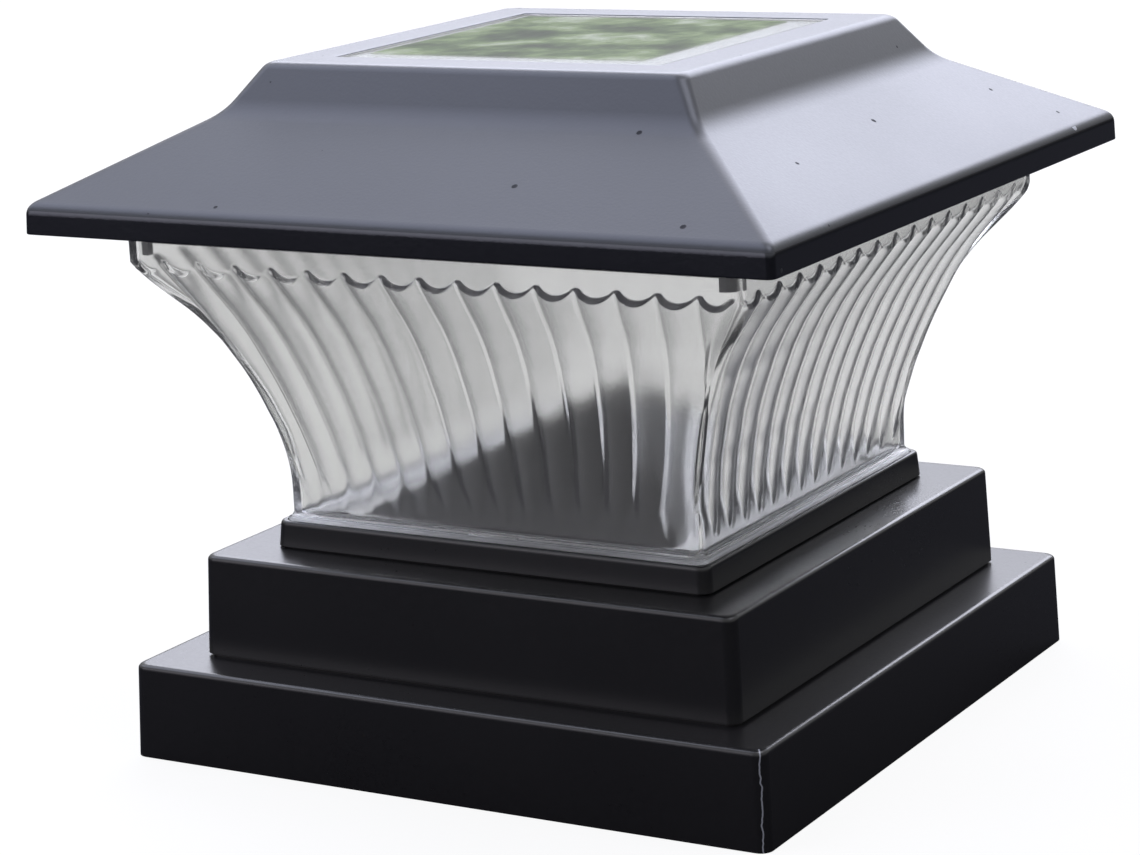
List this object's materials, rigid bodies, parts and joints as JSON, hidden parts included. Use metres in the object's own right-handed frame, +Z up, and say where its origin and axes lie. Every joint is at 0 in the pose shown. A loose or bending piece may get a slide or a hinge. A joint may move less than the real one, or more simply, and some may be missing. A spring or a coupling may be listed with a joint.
{
  "type": "deck post cap light",
  "caption": "Solar light for the top of a square post: hipped roof with a panel on a flared fluted lens, over a stepped base.",
  "frame": {"origin": "middle of the base's bottom edge, on the plane the bottom rim lies in", "axes": "+Z up the post's axis, +X and -Y out of the two side faces that the picture shows, with the battery on the +Y side"},
  "size_m": [0.1794, 0.1794, 0.1527],
  "materials": {
    "roof_plastic": "matt black",
    "panel_clear": "clear",
    "cell_green": "mottled green under the cover",
    "backing_white": "white",
    "foam": "matt foam",
    "base_plastic": "satin black",
    "tray_plastic": "matt black",
    "lens_clear": "clear",
    "screw_steel": "zinc plated",
    "board_green": "solder mask",
    "chip_black": "matt",
    "ferrite": "matt",
    "board_white": "white",
    "lamp": "clear over phosphor",
    "diffuser": "frosted",
    "cell_sleeve": "sleeve",
    "contact_metal": "nickel plated",
    "seal": "matt",
    "lead_red": "satin",
    "lead_black": "satin",
    "lead_white": "satin"
  },
  "bodies": {
    "adapters": {"adapter_6in": "base_plastic", "adapter_5in": "base_plastic", "adapter_screws": "screw_steel"},
    "base": {"base_cap_4in": "base_plastic", "lens": "lens_clear"},
    "head": {"roof_shell": "roof_plastic", "panel_glass": "panel_clear", "solar_cells": "cell_green", "panel_backing": "backing_white", "panel_tape": "foam", "soffit_tray": "tray_plastic", "rim_gasket": "seal", "tray_screws": "screw_steel", "circuit_board": "board_green", "controller_chip": "chip_black", "inductor": "ferrite", "board_screws": "screw_steel", "led_board": "board_white", "leds": "lamp", "led_cover": "diffuser", "cover_screws": "screw_steel", "battery_case": "tray_plastic", "case_screws": "screw_steel", "battery": "cell_sleeve", "battery_ends": "contact_metal", "battery_spring": "contact_metal", "battery_plate": "contact_metal", "switch_body": "contact_metal", "switch_screws": "screw_steel", "panel_lead_red": "lead_red", "panel_lead_black": "lead_black", "battery_lead_red": "lead_red", "battery_lead_black": "lead_black", "lamp_lead_red": "lead_red", "lamp_lead_black": "lead_black", "switch_leads": "lead_white"},
    "door": {"battery_door": "tray_plastic"},
    "slider": {"switch_slider": "chip_black"}
  },
  "joints": [
    {"name": "cap_lift", "type": "slide", "parent": "adapters", "child": "base", "axis": [0, 0, 1], "range_m": [0, 0.03]},
    {"name": "head_lift", "type": "slide", "parent": "base", "child": "head", "axis": [0, 0, 1], "range_m": [0, 0.06]},
    {"name": "battery_door_hinge", "type": "hinge", "parent": "head", "child": "door", "pos_m": [0, 0.054, 0.1199], "axis": [1, 0, 0], "range_deg": [0, 95]},
    {"name": "switch_slide", "type": "slide", "parent": "head", "child": "slider", "axis": [1, 0, 0], "range_m": [0, 0.003]}
  ]
}
